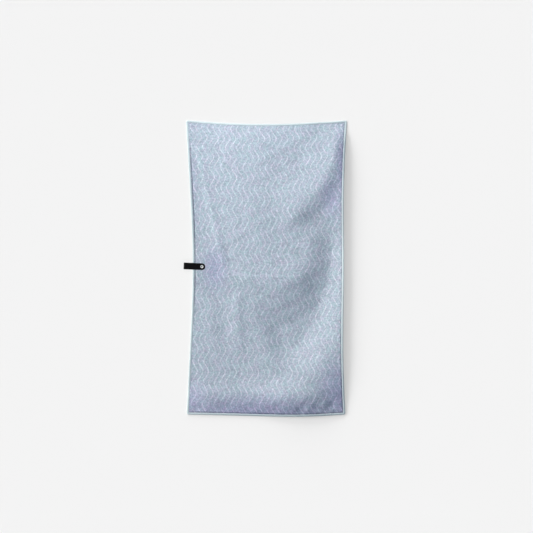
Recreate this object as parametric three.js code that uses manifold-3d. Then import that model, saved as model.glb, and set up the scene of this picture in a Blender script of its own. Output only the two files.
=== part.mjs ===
// A gym towel lying face up: a soft microfibre cloth, and a webbing strap folded round its left
// edge that closes with a snap fastener through the cloth.
// Millimetres, +Z up. The origin is the middle of the towel's outline, on the surface it lies on.
// +Y runs to the towel's top end, and the strap is on the left, at -X.
import * as THREE from "three";
import { mergeVertices } from "three/addons/utils/BufferGeometryUtils.js";
import Module from "manifold-3d";

const wasm = await Module();
wasm.setup();

// The cloth: corners as they lie, and how far each edge bows in from the line between its corners.
const clothThickness = 1.6;
const clothColumns = 38;
const clothRows = 68;
const corners = {
  topLeft: [-201.7, 377],
  topRight: [208.3, 377],
  bottomLeft: [-199.7, -372.2],
  bottomRight: [203.7, -372.2],
};
const edges = {
  left: { arch: 15, skew: 0.4, shoulder: -1 },
  right: { arch: 9, skew: 0.4, shoulder: 2.2 },
  top: { arch: 10.5, skew: 0, shoulder: 0 },
  bottom: { arch: -4.4, skew: 1.2, shoulder: 0 },
};
const edgeReach = 2.2; // the higher, the faster an edge's bow fades into the cloth

// The strap and its snap, in the strap's own frame: u runs along it from the fold, v across it.
const strap = { startX: -207.8, startY: 6.3, tilt: -2.5, width: 17, thickness: 1.2, snapAt: 46.7 };
const strapRise = { from: 28, to: 38, high: 0.8 }; // the lower layer steps up over the post's flange
const strapGap = 5.9; // between the layers, inside the fold
const clearance = 0.3; // between pieces that touch
const post = { flangeRadius: 4.2, flangeThickness: 0.5, radius: 1.3, top: 5.4 };
const stud = { baseRadius: 4.4, baseThickness: 0.5, headRadius: 2.1, neckRadius: 1.85, top: 6.1 };
const socket = { radius: 4.6, bottom: 5, top: 6.8, cavityRadius: 2.5 };
const ring = { innerRadius: 1.6, shankRadius: 2.2, outerRadius: 5, thickness: 0.9 };
const roundSegments = 40;

// The cloth lies at this height over the strap's lower layer, and comes down around it.
const lift = { high: 2.3, margin: 14, fall: 32 };

// Broad swells: each rises by `high` from x[0] to x[1], above low[0] to low[1] and below up[0] to
// up[1]. A pair written from high to low rises the other way.
const swells = [
  { high: 14, x: [-227, 10], low: [-170, 100], up: [520, 300] }, // the upper half
  { high: 5.5, x: [-225, -125], low: [0, -160], up: [900, 800] }, // the lower left
  { high: 9, x: [-115, 100], low: [130, -80], up: [900, 800] }, // the lower middle
  { high: 2, x: [120, 205], low: [-400, -300], up: [390, 330] }, // the right edge
  { high: -12, x: [100, 205], low: [220, 375], up: [900, 800] }, // the top right corner
  { high: 4, x: [-166, -205], low: [-60, 20], up: [330, 260] }, // the left edge curls up a little
];

// Curved folds: round centre x, y at a radius, over turn[0] to turn[1] in degrees clockwise from
// +X. Height, and reach on the inner and outer side, go from the first value to the second along
// the fold, and fade is the length over which each end dies away. sharp is 0 for a round fold and
// 1 for a keen one.
const curvedFolds = [
  // The upper shoulder.
  {
    x: -77, y: 353, radius: 260, turn: [8, 53], high: [7, 7], sharp: 0.25,
    inner: [80, 110], outer: [42, 58], fade: [70, 60],
  },
  // The valley.
  {
    x: -141, y: 47, radius: 309, turn: [3, 47], high: [-8, -14], sharp: 0.35,
    inner: [68, 158], outer: [52, 104], fade: [110, 90],
  },
  // The lower shoulder.
  {
    x: -52, y: -132, radius: 240, turn: [4, 62], high: [-1, 5], sharp: 0,
    inner: [75, 95], outer: [80, 90], fade: [90, 100],
  },
];

// Shallow straight creases from one point to another.
const creases = [
  { from: [-166, 290], to: [-108, 20], high: 0.9, reach: 22, fade: 50 },
  { from: [-72, -85], to: [-76, -180], high: 1.4, reach: 34, fade: 60 },
  { from: [-150, -30], to: [100, -20], high: 1.4, reach: 45, fade: 60 },
  { from: [-20, 70], to: [60, 62], high: -1, reach: 60, fade: 70 },
  { from: [-170, -330], to: [80, -330], high: 3, reach: 56, fade: 90 }, // above the bottom edge
];
const sink = 2.4; // the folds' feet go this far below the surface, so the cloth lies flat there
const settle = 1.2; // half the height over which a fold's foot rounds off into the flat
const lowerCorner = { drop: 13, x: [120, 240], y: [-175, -380] };
// The bottom edge keeps a share of its height, from keep[0] at x[0] to keep[1] at x[1].
const lowerEdge = { y: -376, width: 62, keep: [0.1, 0.55], x: [-60, 130] };

function smooth(value) {
  const q = THREE.MathUtils.clamp(value, 0, 1);
  return q * q * (3 - 2 * q);
}

function ramp(value, [from, to]) {
  return smooth((value - from) / (to - from));
}

function mix([from, to], share) {
  return from + (to - from) * share;
}

// 1 in the middle, falling to 0 at plus and minus 1.
function bell(offset) {
  return 0.5 + 0.5 * Math.cos(Math.PI * Math.min(Math.abs(offset), 1));
}

function curvedFoldHeight(x, y, fold) {
  const angle = THREE.MathUtils.radToDeg(Math.atan2(fold.y - y, x - fold.x));
  const along = smooth((angle - fold.turn[0]) / (fold.turn[1] - fold.turn[0]));
  const offset = Math.hypot(x - fold.x, y - fold.y) - fold.radius;
  const reach = offset > 0 ? mix(fold.outer, along) : mix(fold.inner, along);
  const before = THREE.MathUtils.degToRad(fold.turn[0] - angle) * fold.radius;
  const after = THREE.MathUtils.degToRad(angle - fold.turn[1]) * fold.radius;
  const ends = smooth(1 - before / fold.fade[0]) * smooth(1 - after / fold.fade[1]);
  const keen = 1 - Math.sin((Math.PI / 2) * Math.min(Math.abs(offset / reach), 1));
  return mix(fold.high, along) * mix([bell(offset / reach), keen], fold.sharp) * ends;
}

function creaseHeight(x, y, crease) {
  const [dx, dy] = [crease.to[0] - crease.from[0], crease.to[1] - crease.from[1]];
  const length = Math.hypot(dx, dy);
  const along = ((x - crease.from[0]) * dx + (y - crease.from[1]) * dy) / length;
  const offset = ((y - crease.from[1]) * dx - (x - crease.from[0]) * dy) / length;
  const ends = smooth(1 + along / crease.fade) * smooth(1 + (length - along) / crease.fade);
  return crease.high * bell(offset / crease.reach) * ends;
}

// Height of the cloth's underside from its folds alone.
function foldHeight(x, y) {
  let z = -sink;
  for (const swell of swells) z += swell.high * ramp(x, swell.x) * ramp(y, swell.low) * ramp(y, swell.up);
  for (const fold of curvedFolds) z += curvedFoldHeight(x, y, fold);
  for (const crease of creases) z += creaseHeight(x, y, crease);
  z -= lowerCorner.drop * ramp(x, lowerCorner.x) * ramp(y, lowerCorner.y);
  const inFromEdge = THREE.MathUtils.clamp((y - lowerEdge.y) / lowerEdge.width, 0, 1);
  const kept = mix(lowerEdge.keep, ramp(x, lowerEdge.x));
  z *= mix([kept, 1], 1 - (1 - inFromEdge) ** 2);
  if (z >= settle) return z;
  return z <= -settle ? 0 : (z + settle) ** 2 / (4 * settle);
}

// A point in the strap's frame, from a point on the surface.
function strapCoordinates(x, y) {
  const turn = THREE.MathUtils.degToRad(strap.tilt);
  const [dx, dy] = [x - strap.startX, y - strap.startY];
  return [dx * Math.cos(turn) + dy * Math.sin(turn), dy * Math.cos(turn) - dx * Math.sin(turn)];
}

// Height of the cloth's underside: the folds, with a low flat rise over the strap's lower layer.
function clothHeight(x, y) {
  const [u, v] = strapCoordinates(x, y);
  const beyondEnd = Math.max(u - strap.snapAt - strap.width / 2 - lift.margin, 0);
  const beyondSide = Math.max(Math.abs(v) - strap.width / 2 - lift.margin, 0);
  const share = 1 - smooth(Math.hypot(beyondEnd, beyondSide) / lift.fall);
  return mix([foldHeight(x, y), lift.high], share);
}

function bow(edge, share) {
  const turn = Math.PI * share;
  return edge.arch * Math.sin(turn) + edge.skew * Math.sin(2 * turn) + edge.shoulder * Math.sin(3 * turn);
}

// Plan place of the cloth's point s across it (0 left, 1 right) and t down it (0 top, 1 bottom).
function clothPlan(s, t) {
  const left = mix([corners.topLeft[0], corners.bottomLeft[0]], t);
  const right = mix([corners.topRight[0], corners.bottomRight[0]], t);
  const top = mix([corners.topLeft[1], corners.topRight[1]], s);
  const bottom = mix([corners.bottomLeft[1], corners.bottomRight[1]], s);
  const fromLeft = bow(edges.left, t) * (1 - s) ** edgeReach;
  const fromRight = bow(edges.right, t) * s ** edgeReach;
  const fromTop = bow(edges.top, s) * (1 - t) ** edgeReach;
  const fromBottom = bow(edges.bottom, s) * t ** edgeReach;
  return [mix([left, right], s) + fromLeft - fromRight, mix([top, bottom], t) - fromTop + fromBottom];
}

// A closed sheet over a grid: an underside, a top a thickness above it, and four edge strips.
function sheetGeometry(columns, rows, thickness) {
  const positions = [];
  for (const above of [0, thickness]) {
    for (let row = 0; row <= rows; row++) {
      for (let column = 0; column <= columns; column++) {
        const [x, y] = clothPlan(column / columns, row / rows);
        positions.push(x, y, clothHeight(x, y) + above);
      }
    }
  }
  const across = columns + 1;
  const layer = across * (rows + 1);
  const faces = [];
  const quad = (a, b, c, d) => faces.push(a, b, c, a, c, d);
  const wall = (a, b) => quad(a, layer + a, layer + b, b);
  for (let row = 0; row < rows; row++) {
    for (let column = 0; column < columns; column++) {
      const a = row * across + column;
      quad(a, a + 1, a + across + 1, a + across);
      quad(layer + a, layer + a + across, layer + a + across + 1, layer + a + 1);
    }
    wall((row + 1) * across, row * across);
    wall(row * across + columns, (row + 1) * across + columns);
  }
  for (let column = 0; column < columns; column++) {
    wall(column, column + 1);
    wall(rows * across + column + 1, rows * across + column);
  }
  const geometry = new THREE.BufferGeometry();
  geometry.setAttribute("position", new THREE.Float32BufferAttribute(positions, 3));
  geometry.setIndex(faces);
  return geometry;
}

function toSolid(geometry) {
  const plain = geometry.clone();
  plain.deleteAttribute("normal");
  plain.deleteAttribute("uv");
  const merged = mergeVertices(plain, 1e-4);
  const vertProperties = merged.attributes.position.array;
  const triVerts = new Uint32Array(merged.index.array);
  return new wasm.Manifold(new wasm.Mesh({ numProp: 3, vertProperties, triVerts }));
}

function toGeometry(solid) {
  const { vertProperties, triVerts } = solid.getMesh();
  const geometry = new THREE.BufferGeometry();
  geometry.setAttribute("position", new THREE.BufferAttribute(vertProperties, 3));
  geometry.setIndex(new THREE.BufferAttribute(triVerts, 1));
  geometry.computeVertexNormals();
  return geometry;
}

// An upright drill of the given radius, from one height to another.
function drill(radius, x, y, bottom, top) {
  const geometry = new THREE.CylinderGeometry(radius, radius, top - bottom, roundSegments);
  geometry.rotateX(Math.PI / 2);
  geometry.translate(x, y, (bottom + top) / 2);
  return toSolid(geometry);
}

function clothGeometry() {
  const turn = THREE.MathUtils.degToRad(strap.tilt);
  const x = strap.startX + strap.snapAt * Math.cos(turn);
  const y = strap.startY + strap.snapAt * Math.sin(turn);
  const hole = drill(post.radius + clearance, x, y, 0, lift.high + clothThickness + 1);
  return toGeometry(toSolid(sheetGeometry(clothColumns, clothRows, clothThickness)).subtract(hole));
}

// The strap's side outline: lower layer, step up under the snap, upper layer and round fold.
function strapGeometry() {
  const { thickness, width, snapAt } = strap;
  const upper = thickness + strapGap;
  const foldRadius = upper / 2 + thickness / 2;
  const end = snapAt + width / 2;
  const { from, to, high } = strapRise;
  const side = new THREE.Shape();
  side.moveTo(foldRadius, 0);
  side.lineTo(from, 0);
  side.bezierCurveTo((from + to) / 2, 0, (from + to) / 2, high, to, high);
  side.lineTo(end, high);
  side.lineTo(end, high + thickness);
  side.lineTo(to, high + thickness);
  side.bezierCurveTo((from + to) / 2, high + thickness, (from + to) / 2, thickness, from, thickness);
  side.lineTo(foldRadius, thickness);
  side.absarc(foldRadius, foldRadius, strapGap / 2, -Math.PI / 2, Math.PI / 2, true);
  side.lineTo(end, upper);
  side.lineTo(end, upper + thickness);
  side.lineTo(foldRadius, upper + thickness);
  side.absarc(foldRadius, foldRadius, foldRadius, Math.PI / 2, -Math.PI / 2, false);
  const layers = new THREE.ExtrudeGeometry(side, { depth: width, bevelEnabled: false, curveSegments: 14 });
  layers.rotateX(Math.PI / 2);
  layers.translate(0, width / 2, 0);

  const plan = new THREE.Shape();
  plan.moveTo(-1, -width / 2);
  plan.lineTo(snapAt, -width / 2);
  plan.absarc(snapAt, 0, width / 2, -Math.PI / 2, Math.PI / 2, false);
  plan.lineTo(-1, width / 2);
  const depth = upper + thickness + 2;
  const rounded = new THREE.ExtrudeGeometry(plan, { depth, bevelEnabled: false, curveSegments: 24 });
  rounded.translate(0, 0, -1);

  const lowerHole = drill(post.radius + clearance, snapAt, 0, 0, upper - 1);
  const upperHole = drill(ring.shankRadius + clearance, snapAt, 0, upper - 1, upper + thickness + 1);
  return toGeometry(toSolid(layers).intersect(toSolid(rounded)).subtract(lowerHole).subtract(upperHole));
}

// A round piece about the snap's axis, from its half outline as radius and height.
function turned(outline) {
  const points = outline.map(([radius, height]) => new THREE.Vector2(radius, height));
  const geometry = new THREE.LatheGeometry(points, roundSegments);
  geometry.rotateX(Math.PI / 2);
  geometry.translate(strap.snapAt, 0, 0);
  return geometry;
}

function postGeometry() {
  const { flangeRadius, flangeThickness, radius, top } = post;
  return turned([
    [0, 0],
    [flangeRadius, 0],
    [flangeRadius, flangeThickness],
    [radius, flangeThickness],
    [radius, top - 0.2],
    [radius - 0.2, top],
    [0, top],
  ]);
}

function studGeometry() {
  const { baseRadius, baseThickness, headRadius, neckRadius, top } = stud;
  const bottom = lift.high + clothThickness + clearance;
  const bore = post.radius + clearance;
  return turned([
    [bore, bottom],
    [baseRadius, bottom],
    [baseRadius, bottom + baseThickness],
    [neckRadius, bottom + baseThickness],
    [neckRadius, bottom + baseThickness + 0.4],
    [headRadius, bottom + baseThickness + 0.8],
    [headRadius, top - 0.3],
    [headRadius - 0.3, top],
    [0, top],
    [0, post.top + clearance],
    [bore, post.top + clearance],
    [bore, bottom],
  ]);
}

function socketGeometry() {
  const { radius, bottom, top, cavityRadius } = socket;
  const roof = stud.top + clearance;
  return turned([
    [cavityRadius, bottom],
    [radius - 0.3, bottom],
    [radius, bottom + 0.3],
    [radius, top - 0.3],
    [radius - 0.3, top],
    [0, top],
    [0, roof],
    [cavityRadius, roof],
    [cavityRadius, bottom],
  ]);
}

function ringGeometry() {
  const { innerRadius, shankRadius, outerRadius, thickness } = ring;
  const strapTop = strapGap + 2 * strap.thickness;
  const bottom = strapTop + clearance;
  return turned([
    [innerRadius, strapTop - strap.thickness],
    [shankRadius, strapTop - strap.thickness],
    [shankRadius, bottom],
    [outerRadius - 0.2, bottom],
    [outerRadius, bottom + 0.2],
    [outerRadius - 0.3, bottom + thickness - 0.2],
    [outerRadius - 0.9, bottom + thickness],
    [innerRadius + 0.5, bottom + thickness],
    [innerRadius, bottom + thickness - 0.4],
    [innerRadius, strapTop - strap.thickness],
  ]);
}

function addPiece(parent, name, geometry, color, roughness, metalness) {
  const mesh = new THREE.Mesh(geometry, new THREE.MeshStandardMaterial({ color, roughness, metalness }));
  mesh.name = name;
  parent.add(mesh);
}

const towel = new THREE.Group();
addPiece(towel, "towel_cloth", clothGeometry(), "#aeb9c9", 0.95, 0);

const strapGroup = new THREE.Group();
strapGroup.position.set(strap.startX, strap.startY, 0);
strapGroup.rotation.z = THREE.MathUtils.degToRad(strap.tilt);
addPiece(strapGroup, "hang_strap", strapGeometry(), "#16171a", 0.85, 0);
addPiece(strapGroup, "snap_ring", ringGeometry(), "#cfd3d8", 0.3, 1);
addPiece(strapGroup, "snap_socket", socketGeometry(), "#9a9da1", 0.35, 1);
addPiece(strapGroup, "snap_stud", studGeometry(), "#9a9da1", 0.35, 1);
addPiece(strapGroup, "snap_post", postGeometry(), "#9a9da1", 0.35, 1);
towel.add(strapGroup);

export default towel;
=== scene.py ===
import math

import bpy
import numpy as np
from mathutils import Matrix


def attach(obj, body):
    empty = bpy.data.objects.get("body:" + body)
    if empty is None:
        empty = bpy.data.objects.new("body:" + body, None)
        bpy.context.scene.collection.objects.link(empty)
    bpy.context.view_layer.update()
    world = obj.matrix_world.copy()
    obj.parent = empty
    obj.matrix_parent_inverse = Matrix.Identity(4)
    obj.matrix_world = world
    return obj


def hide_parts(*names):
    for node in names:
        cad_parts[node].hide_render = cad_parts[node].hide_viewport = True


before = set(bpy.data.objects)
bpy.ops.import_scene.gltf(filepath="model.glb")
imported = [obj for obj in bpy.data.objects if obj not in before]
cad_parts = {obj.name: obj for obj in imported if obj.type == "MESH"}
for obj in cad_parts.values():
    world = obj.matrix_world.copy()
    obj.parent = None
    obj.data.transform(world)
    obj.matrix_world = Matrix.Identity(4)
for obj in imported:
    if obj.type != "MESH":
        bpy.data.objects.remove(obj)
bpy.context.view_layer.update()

# A gym towel lying face up. Sizes are in millimetres unless a note says otherwise; meshes are in metres.
millimetre = 0.001


# Smooth step: 3q² - 2q³ with q held between 0 and 1.
def smooth(value):
    q = np.clip(value, 0, 1)
    return q * q * (3 - 2 * q)


# Smooth step of a value between two limits, which may be written high to low.
def ramp(value, limits):
    return smooth((value - limits[0]) / (limits[1] - limits[0]))


# Straight mix of two values by a share.
def mix(pair, share):
    return pair[0] + (pair[1] - pair[0]) * share


# Bell: half of one plus the cosine, 1 in the middle and 0 at plus and minus 1.
def bell(offset):
    return 0.5 + 0.5 * np.cos(np.pi * np.clip(np.abs(offset), 0, 1))


# An object in the scene.
def addObject(name, data):
    made = bpy.data.objects.new(name, data)
    bpy.context.scene.collection.objects.link(made)
    return made


# A mesh made a smooth shaded object that rides on the towel.
def finishPiece(name, mesh, material):
    mesh.validate()
    mesh.materials.append(material)
    mesh.polygons.foreach_set("use_smooth", np.ones(len(mesh.polygons), bool))
    mesh.update()
    piece = addObject(name, mesh)
    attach(piece, "root")
    return piece


# A piece from points in millimetres and an array of four-cornered faces.
def makePiece(name, points, faces, material):
    mesh = bpy.data.meshes.new(name)
    mesh.from_pydata((points.reshape(-1, 3) * millimetre).tolist(), [], faces.reshape(-1, 4).tolist())
    return finishPiece(name, mesh, material)


# Faces of a grid of points; a closed direction joins its last line to its first.
def gridFaces(rows, columns, closedRows=False, closedColumns=False):
    row = np.arange(rows if closedRows else rows - 1)[:, None]
    column = np.arange(columns if closedColumns else columns - 1)[None, :]
    nextRow = (row + 1) % rows
    nextColumn = (column + 1) % columns
    corners = [row * columns + column, row * columns + nextColumn]
    corners += [nextRow * columns + nextColumn, nextRow * columns + column]
    return np.stack(np.broadcast_arrays(*corners), -1).reshape(-1, 4)


# The cloth as it lies: corners, the bows of its edges, and its folds.
cloth = {
    "cut": (410, 760),  # width and length of the flat piece
    "thickness": 1.6,
    "step": 3.1,  # spacing of the mesh's lines
    "edgeLines": (0, 0.5, 1.2, 2.1, 3.1, 4.0, 4.7, 5.3, 5.9, 6.6, 7.6, 9.3),  # closer lines by each edge
    "cornerRadius": 5.2,
    "left": (-201.7, -199.7),  # x of the left side's top and bottom ends
    "right": (208.3, 203.7),
    "ends": (377, -372.2),  # y of the top and bottom corners
    "edgeReach": 2.2,  # the higher, the faster an edge's bow fades into the cloth
    "bows": {  # arch, skew and shoulder of each edge
        "left": (15, 0.4, -1),
        "right": (9, 0.4, 2.2),
        "top": (10.5, 0, 0),
        "bottom": (-4.4, 1.2, 0),
    },
    "swells": [  # each rises between two values of x and two of y, and fades between two more
        {"high": 14, "x": (-227, 10), "low": (-170, 100), "up": (520, 300)},  # the upper half
        {"high": 5.5, "x": (-225, -125), "low": (0, -160), "up": (900, 800)},  # the lower left
        {"high": 9, "x": (-115, 100), "low": (130, -80), "up": (900, 800)},  # the lower middle
        {"high": 2, "x": (120, 205), "low": (-400, -300), "up": (390, 330)},  # the right edge
        {"high": -12, "x": (100, 205), "low": (220, 375), "up": (900, 800)},  # the top right corner
        {"high": 4, "x": (-166, -205), "low": (-60, 20), "up": (330, 260)},  # the left edge curls up
    ],
    "curvedFolds": [
        {"centre": (-77, 353), "radius": 260, "turn": (8, 53), "high": (7, 7), "sharp": 0.25,
         "inner": (80, 110), "outer": (42, 58), "fade": (70, 60)},  # upper shoulder
        {"centre": (-141, 47), "radius": 309, "turn": (3, 47), "high": (-8, -14), "sharp": 0.35,
         "inner": (68, 158), "outer": (52, 104), "fade": (110, 90)},  # valley
        {"centre": (-52, -132), "radius": 240, "turn": (4, 62), "high": (-1, 5), "sharp": 0,
         "inner": (75, 95), "outer": (80, 90), "fade": (90, 100)},  # lower shoulder
    ],
    "creases": [
        {"start": (-166, 290), "end": (-108, 20), "high": 0.9, "reach": 22, "fade": 50},
        {"start": (-72, -85), "end": (-76, -180), "high": 1.4, "reach": 34, "fade": 60},
        {"start": (-150, -30), "end": (100, -20), "high": 1.4, "reach": 45, "fade": 60},
        {"start": (-20, 70), "end": (60, 62), "high": -1, "reach": 60, "fade": 70},
        {"start": (-170, -330), "end": (80, -330), "high": 3, "reach": 56, "fade": 90},
    ],
    "sink": 2.4,  # lowers all the folds
    "settle": 1.2,  # the fold's foot is rounded over this height
    "cornerDrop": {"high": 13, "x": (120, 240), "y": (-175, -380)},
    "lowerEdge": {"y": -376, "width": 62, "keep": (0.1, 0.55), "x": (-60, 130)},
    "pinch": {"reach": 6, "under": 0.4, "top": 0.7},  # under the edge thread
    "calmReach": 20,  # the unevenness grows over this much in from the edge
}

# The strap, in its own frame: u runs along it from the fold, v across it.
strap = {
    "start": (-207.8, 6.3),
    "tilt": -2.5,  # degrees
    "width": 17,
    "thickness": 1.2,
    "gap": 5.9,  # between the layers, inside the fold
    "snapAt": 46.7,
    "rise": (28, 38),  # the lower layer steps up here over the post's flange
    "riseHeight": 0.8,
    "cords": 11,  # lengthwise cords across the webbing
    "pick": 1.3,  # length of one crossing of the weave
    "relief": 0.07,
    "dip": 0.35,  # a cord's height where a cross thread passes over it
    "selvedge": 0.8,  # width of the smooth margin
    "edgePower": 12,  # the higher, the squarer the section's edges
    "station": 0.33,
    "across": 52,
    "crowding": 0.15,  # how much closer the lines across lie by the edges
    "endStations": 21,
    "endStart": 0.06,  # the first station's turn round the end, in radians
    "endFall": 0.5,  # the end thins to nothing over this length
}
lift = {"high": 2.3, "margin": 14, "fall": 32}  # the cloth's rise over the strap
cutWidth, cutLength = cloth["cut"]
strapTurn = math.radians(strap["tilt"])
strapTip = strap["snapAt"] + strap["width"] / 2
foldRadius = (strap["gap"] + strap["thickness"]) / 2  # to the middle of the webbing


# Curved fold: a bell mixed with a keen crest across the distance from an arc, changing along the turn.
def curvedFoldHeight(x, y, fold):
    centreX, centreY = fold["centre"]
    angle = np.degrees(np.arctan2(centreY - y, x - centreX))
    first, last = fold["turn"]
    along = smooth((angle - first) / (last - first))
    offset = np.hypot(x - centreX, y - centreY) - fold["radius"]
    reach = np.where(offset > 0, mix(fold["outer"], along), mix(fold["inner"], along))
    before = np.radians(first - angle) * fold["radius"]
    after = np.radians(angle - last) * fold["radius"]
    ends = smooth(1 - before / fold["fade"][0]) * smooth(1 - after / fold["fade"][1])
    keen = 1 - np.sin(np.pi / 2 * np.minimum(np.abs(offset / reach), 1))
    return mix(fold["high"], along) * mix((bell(offset / reach), keen), fold["sharp"]) * ends


# Straight crease: a bell across the distance from a line, faded past its ends.
def creaseHeight(x, y, crease):
    startX, startY = crease["start"]
    dx, dy = crease["end"][0] - startX, crease["end"][1] - startY
    length = math.hypot(dx, dy)
    along = ((x - startX) * dx + (y - startY) * dy) / length
    offset = ((y - startY) * dx - (x - startX) * dy) / length
    ends = smooth(1 + along / crease["fade"]) * smooth(1 + (length - along) / crease["fade"])
    return crease["high"] * bell(offset / crease["reach"]) * ends


# Underside height: swells, folds and creases added, sunk a little, then rounded off into the flat.
def foldHeight(x, y):
    z = -cloth["sink"] + 0 * x
    for swell in cloth["swells"]:
        z = z + swell["high"] * ramp(x, swell["x"]) * ramp(y, swell["low"]) * ramp(y, swell["up"])
    for fold in cloth["curvedFolds"]:
        z = z + curvedFoldHeight(x, y, fold)
    for crease in cloth["creases"]:
        z = z + creaseHeight(x, y, crease)
    drop, edge, settle = cloth["cornerDrop"], cloth["lowerEdge"], cloth["settle"]
    z = z - drop["high"] * ramp(x, drop["x"]) * ramp(y, drop["y"])
    inFromEdge = np.clip((y - edge["y"]) / edge["width"], 0, 1)
    kept = mix(edge["keep"], ramp(x, edge["x"]))
    z = z * mix((kept, 1), 1 - (1 - inFromEdge) ** 2)
    rounded = (z + settle) ** 2 / (4 * settle)
    return np.where(z >= settle, z, np.where(z <= -settle, 0, rounded))


# Strap frame: the place turned back by the strap's tilt about its start.
def strapCoordinates(x, y):
    dx, dy = x - strap["start"][0], y - strap["start"][1]
    u = dx * math.cos(strapTurn) + dy * math.sin(strapTurn)
    v = dy * math.cos(strapTurn) - dx * math.sin(strapTurn)
    return u, v


# Share of the low rise: 1 over the strap's lower layer, falling to 0 by the distance beyond it.
def riseShare(x, y):
    u, v = strapCoordinates(x, y)
    beyondEnd = np.maximum(u - strapTip - lift["margin"], 0)
    beyondSide = np.maximum(np.abs(v) - strap["width"] / 2 - lift["margin"], 0)
    return 1 - smooth(np.hypot(beyondEnd, beyondSide) / lift["fall"])


# Underside height: a mix of the folds and the low rise over the strap.
def clothHeight(x, y):
    return mix((foldHeight(x, y), lift["high"]), riseShare(x, y))


# Edge bow: arch, skew and shoulder times the sine of one, two and three half turns.
def bow(name, share):
    arch, skew, shoulder = cloth["bows"][name]
    turn = np.pi * share
    return arch * np.sin(turn) + skew * np.sin(2 * turn) + shoulder * np.sin(3 * turn)


# Place in plan of a point of the cut: a mix of the corners, with each edge's bow fading inwards.
def clothPlan(across, down):
    s, t = across / cutWidth, down / cutLength
    inS, inT = np.clip(s, 0, 1), np.clip(t, 0, 1)
    reach = cloth["edgeReach"]
    x = mix((mix(cloth["left"], t), mix(cloth["right"], t)), s)
    x = x + bow("left", inT) * (1 - inS) ** reach - bow("right", inT) * inS ** reach
    y = mix(cloth["ends"], t) - bow("top", inS) * (1 - inT) ** reach + bow("bottom", inS) * inT ** reach
    return x, y


# Distance in from the nearest edge of the cut.
def edgeDistance(across, down):
    return np.minimum(np.minimum(across, cutWidth - across), np.minimum(down, cutLength - down))


# Round corner: each offset into it shrinks by the root of 1 less half the other squared.
def roundCorners(across, down):
    radius = cloth["cornerRadius"]
    a = np.clip(np.maximum(radius - across, across - cutWidth + radius) / radius, 0, 1)
    b = np.clip(np.maximum(radius - down, down - cutLength + radius) / radius, 0, 1)
    signA = np.where(across < cutWidth / 2, -1, 1)
    signB = np.where(down < cutLength / 2, -1, 1)
    moveA = signA * radius * (a * np.sqrt(1 - b * b / 2) - a)
    moveB = signB * radius * (b * np.sqrt(1 - a * a / 2) - b)
    return across + moveA, down + moveB


# The sewn groove: its distance in from each side, and the puckers around it.
groove = {
    "left": 7.2,
    "right": 5.7,
    "top": 6.2,
    "bottom": 5.9,
    "reach": 2.3,
    "deep": 0.5,
    "leftStarts": (20, 110),  # lengths down the cut
    "leftFades": (430, 520),
    "leftLoss": 0.9,
    "rightDeepens": (520, 640),
    "rightLeast": 0.65,
    "topShare": 0.1,
    "puckerHigh": 0.25,
    "puckerWaves": [(1, 11, 0), (0.6, 17.3, 1.1)],  # share, length and phase
    "puckerReach": 18,
    "puckerStarts": (3, 8),
}


# Share of the groove's depth: the largest of four bells across its lines, each weakened along its side.
# The same share also darkens the cloth's colour along the groove as painted shade.
def grooveShare(across, down):
    kept = 1 - groove["leftLoss"] * ramp(down, groove["leftFades"])
    bySide = [
        ("left", across, ramp(down, groove["leftStarts"]) * kept),
        ("right", cutWidth - across, mix((groove["rightLeast"], 1), ramp(down, groove["rightDeepens"]))),
        ("top", down, groove["topShare"]),
        ("bottom", cutLength - down, 1),
    ]
    share = 0
    for side, inward, strength in bySide:
        share = np.maximum(share, strength * bell((inward - groove[side]) / groove["reach"]))
    return share


# Sum of sines: each share times the sine of a full turn a wavelength, moved by its phase.
def sumSines(along, waves):
    return sum(share * np.sin(2 * np.pi * along / long + phase) for share, long, phase in waves)


# Puckers pulled in by the thread: two sines along the edge, fading inwards.
def puckerHeight(across, down):
    inward = edgeDistance(across, down)
    wave = sumSines(across + down, groove["puckerWaves"])
    ends = bell(inward / groove["puckerReach"]) * ramp(inward, groove["puckerStarts"])
    return groove["puckerHigh"] * wave * ends


# Fine lines pressed into the cloth, on top of its folds.
fineLines = [
    {"start": (-172, 300), "end": (-112, 40), "high": 0.7, "reach": 10, "fade": 40},
    {"start": (-130, -22), "end": (66, -22), "high": 0.4, "reach": 5, "fade": 40},  # once folded here
    {"start": (-146, 287), "end": (-80, 285), "high": -0.35, "reach": 4, "fade": 20},
    {"start": (-70, -80), "end": (-66, -200), "high": 0.6, "reach": 19, "fade": 40},
]
# Waves of soft cloth: height, length, direction in radians and phase.
softWaves = [(0.20, 61, 0.3, 0.4), (0.16, 43, 1.2, 2.2), (0.12, 34, 2.1, 0.9), (0.09, 25, 0.8, 4.0)]
rumpleWaves = [(0.42, 38, 0.5, 1.0), (0.36, 27, -0.6, 2.6), (0.26, 19, 1.3, 0.2)]
rumple = {"y": (-300, -360), "x": (0, 140), "leftShare": 0.35}  # by the bottom edge, and more on the right


# Unevenness: crossing sines, with more of them by the bottom edge, and the fine lines.
def softUnevenness(x, y):
    rumpled = ramp(y, rumple["y"]) * mix((rumple["leftShare"], 1), ramp(x, rumple["x"]))
    z = 0 * x
    for waves, share in ((softWaves, 1), (rumpleWaves, rumpled)):
        for high, long, turn, phase in waves:
            along = x * math.cos(turn) + y * math.sin(turn)
            z = z + share * sumSines(along, [(high, long, phase)])
    for line in fineLines:
        z = z + creaseHeight(x, y, line)
    return z


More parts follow.
